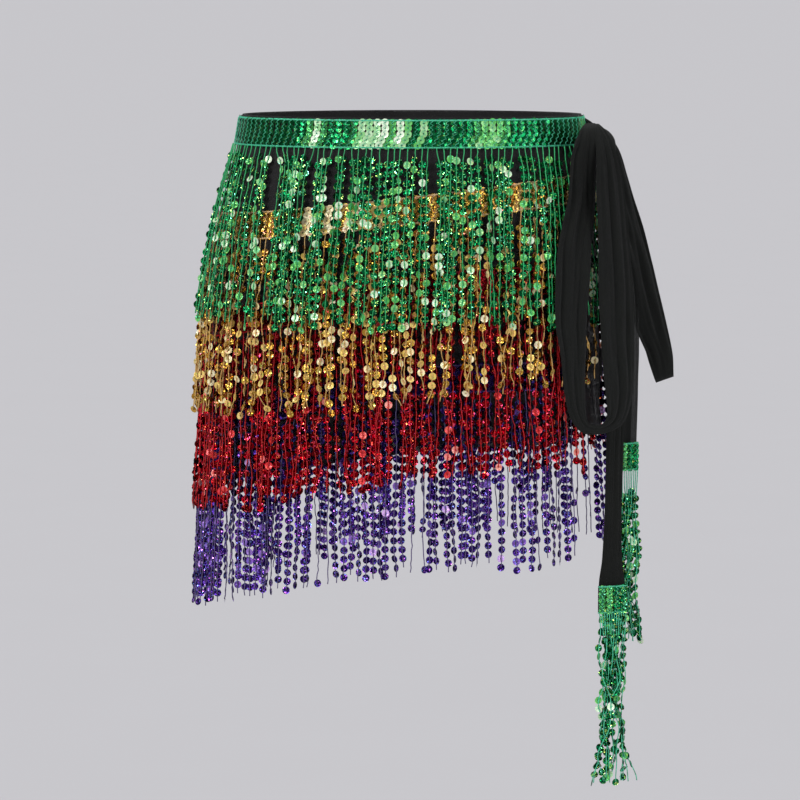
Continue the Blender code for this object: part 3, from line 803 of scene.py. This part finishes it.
def make_band(tier, sizes, finishes, sequin, spread):
    """A sequin band: its black tape, its columns of sequins, the chain stitch on both edges and the zigzags."""
    colour, node, *edge = tier
    shares = np.linspace(0, 1, 241)
    heights = height_at(shares, *edge)[None] + TAPE_LIFTS[:, None]
    grid, _ = wrap_points(shares[None], heights, SEAM_GAP + 0.0003)
    distances = shares[None] * WAIST_LENGTH
    tape = sheet_object(f"{node}_tape", grid, distances, TAPE_LIFTS[:, None], finishes["tape"], 0.0006)
    face_outward(tape, np.array((0, 0, edge[0])))

    def face(share, height, outward):
        return wrap_points(share, height_at(share, *edge) + height, outward)

    def place(distance, height, lift):
        share = np.clip(distance / WAIST_LENGTH, 0, 1)
        points, outs = face(share, height, BAND_FACE - 0.0008 + lift)
        ahead, behind = (face(share + step, height, BAND_FACE)[0] for step in (0.001, -0.001))
        return points, outs, unit(ahead - behind)

    lay, threads = Lay(), []
    band_lay(lay, threads, place, WAIST_LENGTH, sizes, spread, colour)
    threads += edge_stitches(place, WAIST_LENGTH, 0.0007 if colour == "green" else 0.0010, 0.0008)
    finish_band(node, tape, lay, threads, "stitching", colour, finishes, sequin)


def make_fringe(tier, sizes, finishes, sequin, spread):
    colour = tier[0]
    path, outs = fringe_path(tier, sizes, spread)
    lay, threads = Lay(), []
    string_lay(lay, threads, path, outs, STRING_MOODS[colour], sizes, spread, 3)
    sequins = lay_sequins(f"fringe_{colour}_sequins", lay, sequin, finishes[colour])
    strings = thread_object(f"fringe_{colour}_strings", threads, finishes[f"{colour}_thread"])
    finish_piece(sequins, f"fringe_{colour}", slot=f"{colour}_sequins")
    finish_piece(strings, slot=f"{colour}_sequins")


def strip_rows(name, sub):
    """A strip's stations drawn out smoothly: middles, directions across and outward, widths and folds."""
    rows = STRIPS[name]
    steps = np.linalg.norm(np.diff(rows[:, :3], axis=0), axis=1)
    length = np.concatenate([[0.0], np.cumsum(steps)])
    table = np.column_stack([length, rows])
    count = max(int(length[-1] / sub), 8)
    drawn = smooth_rows(table, np.linspace(0, length[-1], count))
    middle, width = drawn[:, 1:4], drawn[:, 4]
    heading, tilt, fold = np.radians(drawn[:, 5]), np.radians(drawn[:, 6]), drawn[:, 7]
    across = np.stack([np.cos(heading) * np.cos(tilt), np.sin(heading) * np.cos(tilt), np.sin(tilt)], -1)
    out = np.stack([np.sin(heading), -np.cos(heading), np.zeros(count)], -1)
    return np.linspace(0, length[-1], count), middle, across, out, width, np.maximum(fold, 0.0)


def make_strip(name, finish, thickness, spread):
    """A strip of the ties, with folds that run along it, drift and fade."""
    length, middle, across, out, width, fold = strip_rows(name, 0.0032)
    part = np.linspace(0, 1, 41)
    drift = 0.16 * smooth_noise(spread, 3, len(length), 16)
    start = spread.uniform(0, 1, 3)
    folds = sum(
        share * np.sin(2 * math.pi * (turns * part[None] + start[i] + drift[i][:, None]))
        for i, (turns, share) in enumerate(STRIP_FOLDS)
    )
    flat_grid = middle[:, None] + across[:, None] * (width[:, None] * (part - 0.5)[None])[..., None]
    grid = flat_grid + out[:, None] * (fold[:, None] * folds)[..., None]
    made = sheet_object(f"{name}_cloth", grid, part[None] * STRIP_CUT, length[:, None], finish, thickness)
    developed = np.linalg.norm(np.diff(grid, axis=1), axis=-1).sum(1).mean()
    finish_piece(made, name, slot="black_tie")
    return made, (float(developed), max(float(length[-1]), 0.0102))


def make_knot(finish):
    """The tied knot: turns of cloth that wrap over each other and pull into the loops below."""
    bpy.ops.object.select_all(action="DESELECT")
    bpy.ops.mesh.primitive_uv_sphere_add(segments=64, ring_count=40, radius=1.0, location=(0, 0, 0))
    made = bpy.context.object
    made.name = made.data.name = "knot_wrap"
    mesh = made.data
    points = np.array([vert.co for vert in mesh.vertices])
    round_about = np.arctan2(points[:, 1], points[:, 0])
    down = (1 - points[:, 2]) / 2
    gathers = 0.5 * np.cos(7 * round_about + 1.0 + 1.2 * down) + 0.5 * np.cos(12 * round_about + 2.0 - 1.6 * down)
    swell = 0.10 * smooth_step((down - 0.4) / 0.5)
    points[:, :2] *= (1 + swell + 0.07 * gathers * smooth_step(down * 1.8))[:, None]
    lengthways, through = turn(np.array((1.0, 0, 0)), np.array((0, 1.0, 0)), np.array(math.radians(KNOT_YAW)))
    aligned = np.stack([lengthways, through, (0, 0, 1.0)])
    placed = np.array(KNOT_MIDDLE) + (points * np.array(KNOT_RADII)) @ aligned
    mesh.vertices.foreach_set("co", placed.astype(np.float32).ravel())
    mesh.materials.append(finish)
    layer = mesh.uv_layers.active
    layer.name = "cloth"
    scale = np.empty(len(layer.data) * 2, np.float32)
    layer.data.foreach_get("uv", scale)
    layer.data.foreach_set("uv", scale * np.tile((0.10, 0.05), len(layer.data)).astype(np.float32))
    mesh.update()
    only_select(made)
    bpy.ops.object.shade_smooth()
    finish_piece(made, "knot", slot="black_tie")


def make_tie_end(name, node, sizes, finishes, sequin, spread):
    """The sequin band across a tie's end and the strings that hang from it."""
    end = STRIPS[name][-1]
    heading = math.radians(end[4])
    across = np.array((math.cos(heading), math.sin(heading), 0.0))
    out = np.array((math.sin(heading), -math.cos(heading), 0.0))
    root = end[:3] + out * (0.0007 + end[6] + SEAM_GAP)

    def place(distance, height, lift):
        distance, height = np.broadcast_arrays(distance, height)
        bulge = 0.0008 * np.cos((distance / TASSEL_WIDTH - 0.5) * math.pi)
        points = root + across * (distance - TASSEL_WIDTH / 2)[..., None]
        points = points + out * (0.0007 + lift + bulge)[..., None] + np.array((0, 0, 1.0)) * height[..., None]
        return points, *(np.broadcast_to(way, points.shape).copy() for way in (out, across))

    distances = (np.linspace(0, 1, 13) * TASSEL_WIDTH)[None]
    grid, _, _ = place(distances, TAPE_LIFTS[:, None], -0.0004)
    tape = sheet_object(f"{node}_tape", grid, distances, TAPE_LIFTS[:, None], finishes["tape"], 0.0005)
    lay, threads = Lay(), []
    band_lay(lay, threads, place, TASSEL_WIDTH, sizes, spread, "tassel")
    threads += edge_stitches(place, TASSEL_WIDTH, 0.0007, 0.0006)

    # The strings gather below the band and fan out a little at the end.
    count, half_step = TASSEL_STRINGS, sizes.string_step / 2
    steps = int(round(TASSEL_LENGTH / half_step)) + 1
    drop = np.arange(steps) * half_step
    part = drop / 0.15
    start = (np.arange(count) + 0.5) / count * TASSEL_WIDTH
    late = spread.uniform(0, 2 * half_step, count)[:, None] * smooth_step(np.arange(steps) / 3)[None]
    base, outs, right = place(start[:, None], -drop[None] * 0.97 - late, 0.0)
    narrowing = 0.014 * smooth_step((part - 0.65) / 0.3) - 0.009 * np.sin(math.pi * part)
    sideways = (start / TASSEL_WIDTH - 0.5)[:, None] * narrowing[None]
    sideways += 0.0030 * smooth_noise(spread, count, steps, 9) * smooth_step(part * 2.5)[None]
    stand_off = 0.0006 + 0.0026 * smooth_noise(spread, count, steps, 12) * smooth_step(part * 2)[None]
    path = base + right * sideways[..., None] + outs * stand_off[..., None]
    string_lay(lay, threads, path, outs, TASSEL_MOOD, sizes, spread, 1 if name == "tail_long" else 5)
    finish_band(node, tape, lay, threads, "strings", "green", finishes, sequin)


def make_panel(sizes, finish, spread):
    """The length of mesh that everything is sewn to, with slight puckers between the bands."""
    shares = np.linspace(0, 1, 301)
    marks = [np.full_like(shares, TOP_EDGE)]
    for tier in TIERS:
        edge = height_at(shares, *tier[2:])
        marks += [edge + BAND_HEIGHT, edge]
    marks.append(height_at(shares, *HEM))
    rows, held = [], []
    for above, below in zip(marks, marks[1:]):
        cuts = 4 if (above - below).mean() < 0.026 else 9
        for i in range(cuts):
            rows.append(above + (below - above) * i / cuts)
            held.append(math.sin(math.pi * i / cuts) if cuts == 9 else 0.0)
    heights, held = np.array([*rows, marks[-1]]), np.array([*held, 0.5])
    pucker = 0
    for count, phase, part in ((46, 0.1, 0.6), (83, 0.4, 0.4)):
        drift = 0.012 * smooth_noise(spread, len(heights), len(shares), 18) * count
        pucker = pucker + part * np.abs(np.sin(math.pi * (count * shares[None] + drift + phase)))
    grid, _ = wrap_points(shares[None], heights, CLOTH_MIDDLE - 0.0016 * held[:, None] * pucker)
    made = sheet_object("mesh_panel", grid, shares[None] * WAIST_LENGTH, heights, finish, sizes.cloth)
    face_outward(made, np.array((0, 0, -0.15)))
    finish_piece(made, "cloth_panel", slot="black_mesh")


# ---------------------------------------------------------------- what a user can change


def length_setting(name, description, default):
    return FloatProperty(
        name=name, description=description, default=default, min=0.0, unit="LENGTH", subtype="DISTANCE", precision=5
    )


def colour_setting(name, description, default):
    return FloatVectorProperty(
        name=name, description=description, default=default, size=3, min=0.0, max=1.0, subtype="COLOR"
    )


class ScarfSizes(bpy.types.PropertyGroup):
    sequin: length_setting("Sequin width", "How wide one sequin is", 0.0066)
    cup: length_setting("Sequin cup", "How deep one sequin is dished", 0.00042)
    string_step: length_setting("String step", "From one sequin to the next down a string", 0.0075)
    column_step: length_setting("Column step", "From one column of sequins to the next on a band", 0.00645)
    thread: length_setting("Thread width", "How thick the fringe's threads are", 0.00105)
    cloth: length_setting("Mesh thickness", "How thick the black mesh is", 0.0005)
    tie: length_setting("Tie thickness", "How thick the cloth of the ties is", 0.0008)
    strings: IntProperty(name="Strings", description="How many strings each fringe has", default=122, min=8, max=400)


class ScarfColours(bpy.types.PropertyGroup):
    mesh: colour_setting("Mesh", "The panel's black mesh", (0.018, 0.017, 0.018))
    tie: colour_setting("Ties", "The cloth of the ties", (0.004, 0.005, 0.004))
    floor: colour_setting("Floor", "The pale floor", (0.545, 0.540, 0.560))


# What each tier's colours are for, and the colours. The foil's deep, half and lit colours are painted shade, painted
# half light and a painted highlight of one foil.
TIER_PARTS = {
    "deep": "foil in shade",
    "middle": "foil",
    "half": "foil that half faces the light",
    "lit": "foil that faces the light",
    "thread": "thread of the fringe",
    "edge": "chain stitch and zigzag thread of the band",
}
TIER_COLOURS = {
    "green": (
        (0.000, 0.030, 0.010),
        (0.004, 0.170, 0.050),
        (0.120, 0.540, 0.110),
        (0.900, 1.000, 0.800),
        (0.035, 0.500, 0.170),
        (0.100, 0.700, 0.420),
    ),
    "gold": (
        (0.200, 0.060, 0.003),
        (0.840, 0.500, 0.080),
        (0.950, 0.680, 0.170),
        (1.000, 0.950, 0.660),
        (0.800, 0.500, 0.170),
        (0.950, 0.680, 0.380),
    ),
    "red": (
        (0.050, 0.000, 0.002),
        (0.260, 0.001, 0.005),
        (0.800, 0.030, 0.030),
        (1.000, 0.420, 0.340),
        (0.640, 0.010, 0.016),
        (0.520, 0.012, 0.018),
    ),
    "purple": (
        (0.010, 0.004, 0.050),
        (0.050, 0.016, 0.190),
        (0.180, 0.080, 0.470),
        (0.820, 0.520, 0.950),
        (0.130, 0.100, 0.230),
        (0.110, 0.060, 0.240),
    ),
}
for tier_colour, values in TIER_COLOURS.items():
    for (key, what), value in zip(TIER_PARTS.items(), values):
        title = tier_colour.title()
        setting = colour_setting(f"{title} {key}", f"{title} {what}", value)
        ScarfColours.__annotations__[f"{tier_colour}_{key}"] = setting


def sizes_now():
    return bpy.context.scene.scarf_sizes


# The lights that shine from far off: name, where each is, strength, and how wide it looks in degrees.
STUDIO_LIGHTS = (
    ("key", (-0.55, -0.70, 0.52), 1.9, 24),
    ("fill", (0.75, -0.75, 0.35), 0.9, 30),
    ("top", (0.10, 0.10, 1.0), 1.4, 40),
)
CAMERA_PLACE, CAMERA_TARGET = (-0.0107, -3.0, 0.113), (-0.0107, 0, -0.2335)


def aim(thing, axis, toward):
    """Turns a light or the camera so that its own axis points a given way."""
    thing.rotation_mode = "QUATERNION"
    thing.rotation_quaternion = toward.to_track_quat(axis, "Y")


def finishes_now():
    """The finishes in the colours that are set, made when first asked for."""
    colours = bpy.context.scene.scarf_colours
    mesh, tie = list(colours.mesh), list(colours.tie)
    wanted = {
        "mesh": ("black_mesh_weave", mesh_finish, mesh, 0.0011, 0.36, 0.15),
        "tie": ("black_tie_cloth", mesh_finish, tie, 0.0008, 0.05, 0.04),
        "selvedge": ("black_tie_selvedge", mesh_finish, tie, 0.0008, 0.05, 0.04, SHEER_FROM),
        "tape": ("black_band_tape", mesh_finish, mesh, 0.0009, 0.0, 0.10),
    }
    for colour, hues in FLECK_HUES.items():
        *foil, thread, edge = (list(getattr(colours, f"{colour}_{key}")) for key in TIER_PARTS)
        wanted[colour] = (f"{colour}_foil", sequin_finish, *foil, hues)
        wanted[f"{colour}_thread"] = (f"{colour}_thread", thread_finish, thread)
        wanted[f"{colour}_edge"] = (f"{colour}_edge", thread_finish, edge)
    return {
        key: bpy.data.materials.get(name) or make(name, *values) for key, (name, make, *values) in wanted.items()
    }


def sewing_kit():
    """The sizes and finishes that are set, and one sequin to copy."""
    sizes = sizes_now()
    return sizes, finishes_now(), model_sequin(sizes.sequin, sizes.cup)


class HIPSCARF_OT_panel(bpy.types.Operator):
    """Make the length of black mesh that wraps the hips"""

    bl_idname = "hipscarf.panel"
    bl_label = "Mesh panel"

    def execute(self, context):
        make_panel(sizes_now(), finishes_now()["mesh"], np.random.default_rng(3))
        return {"FINISHED"}


class HIPSCARF_OT_bands(bpy.types.Operator):
    """Make the four sequin bands with their tapes and stitching"""

    bl_idname = "hipscarf.bands"
    bl_label = "Sequin bands"

    def execute(self, context):
        kit = sewing_kit()
        for number, tier in enumerate(TIERS):
            make_band(tier, *kit, np.random.default_rng(20 + number))
        return {"FINISHED"}


class HIPSCARF_OT_fringes(bpy.types.Operator):
    """Make the four fringes of hanging strings"""

    bl_idname = "hipscarf.fringes"
    bl_label = "Fringes"

    def execute(self, context):
        kit = sewing_kit()
        for number, tier in enumerate(TIERS):
            make_fringe(tier, *kit, np.random.default_rng(40 + number))
        return {"FINISHED"}


class HIPSCARF_OT_bow(bpy.types.Operator):
    """Make the black ties and the bow that they are tied in"""

    bl_idname = "hipscarf.bow"
    bl_label = "Bow"

    def execute(self, context):
        finishes = finishes_now()
        make_knot(finishes["tie"])
        for number, name in enumerate(STRIPS):
            finish = finishes["selvedge" if name == "tail_short" else "tie"]
            made, flat = make_strip(name, finish, sizes_now().tie, np.random.default_rng(60 + number))
        return {"FINISHED"}


class HIPSCARF_OT_tie_ends(bpy.types.Operator):
    """Make the sequin band and strings on the end of each tie"""

    bl_idname = "hipscarf.tie_ends"
    bl_label = "Tie ends"

    def execute(self, context):
        kit = sewing_kit()
        for number, end in enumerate(("short", "long")):
            make_tie_end(f"tail_{end}", f"tassel_{end}", *kit, np.random.default_rng(80 + number))
        return {"FINISHED"}


class HIPSCARF_OT_stage(bpy.types.Operator):
    """Make the pale floor, the soft lights and the camera"""

    bl_idname = "hipscarf.stage"
    bl_label = "Stage"

    def execute(self, context):
        scene = context.scene
        scene.view_settings.view_transform = "Standard"
        bpy.ops.object.select_all(action="DESELECT")
        bpy.ops.mesh.primitive_circle_add(vertices=64, radius=2500, fill_type="NGON", location=(0, 0, -0.95))
        floor = context.object
        floor.name = floor.data.name = "floor"
        bpy.ops.object.transform_apply(location=True)
        made, tree, shader = new_material("floor_paint")
        pale = list(scene.scarf_colours.floor)
        paint = mix_colours(tree, noise(tree, 6.0, 2.0), dimmed(pale, 0.985), pale)
        plug(tree, shader, {"Base Color": paint, "Roughness": 0.9, "Specular IOR Level": 0.1})
        floor.data.materials.append(made)
        world = bpy.data.worlds.new("studio")
        world.use_nodes = True
        plug(world.node_tree, world.node_tree.nodes["Background"], {0: (0.60, 0.60, 0.63, 1), 1: 0.40})
        scene.world = world
        for name, toward, strength, spread_angle in STUDIO_LIGHTS:
            bpy.ops.object.light_add(type="SUN", location=(0, 0, 2))
            lamp = context.object
            lamp.name = lamp.data.name = name
            lamp.data.energy = strength
            lamp.data.angle = math.radians(spread_angle)
            aim(lamp, "Z", Vector(toward))
        bpy.ops.object.camera_add(location=CAMERA_PLACE)
        camera = context.object
        camera.data.lens = 157.0
        camera.data.sensor_width = 36.0
        camera.data.clip_end = 6000.0
        aim(camera, "-Z", Vector(CAMERA_TARGET) - camera.location)
        scene.camera = camera
        return {"FINISHED"}


class HIPSCARF_PT_panel(bpy.types.Panel):
    """Lists the scarf's pieces and settings"""

    bl_idname = "HIPSCARF_PT_panel"
    bl_label = "Hip Scarf"
    bl_space_type = "VIEW_3D"
    bl_region_type = "UI"
    bl_category = "Hip Scarf"

    def draw(self, context):
        layout = self.layout
        for made in OPERATORS:
            layout.operator(made.bl_idname)
        for group in (context.scene.scarf_sizes, context.scene.scarf_colours):
            column = layout.column()
            for key in group.__annotations__:
                column.prop(group, key)


OPERATORS = (
    HIPSCARF_OT_panel,
    HIPSCARF_OT_bands,
    HIPSCARF_OT_fringes,
    HIPSCARF_OT_bow,
    HIPSCARF_OT_tie_ends,
    HIPSCARF_OT_stage,
)
CLASSES = (ScarfSizes, ScarfColours, *OPERATORS, HIPSCARF_PT_panel)


def register():
    for made in CLASSES:
        bpy.utils.register_class(made)
    bpy.types.Scene.scarf_sizes = PointerProperty(type=ScarfSizes)
    bpy.types.Scene.scarf_colours = PointerProperty(type=ScarfColours)


def unregister():
    del bpy.types.Scene.scarf_colours
    del bpy.types.Scene.scarf_sizes
    for made in reversed(CLASSES):
        bpy.utils.unregister_class(made)


def main():
    register()
    bpy.ops.hipscarf.panel()
    bpy.ops.hipscarf.bands()
    bpy.ops.hipscarf.fringes()
    bpy.ops.hipscarf.bow()
    bpy.ops.hipscarf.tie_ends()
    bpy.ops.hipscarf.stage()


if __name__ == "__main__":
    main()
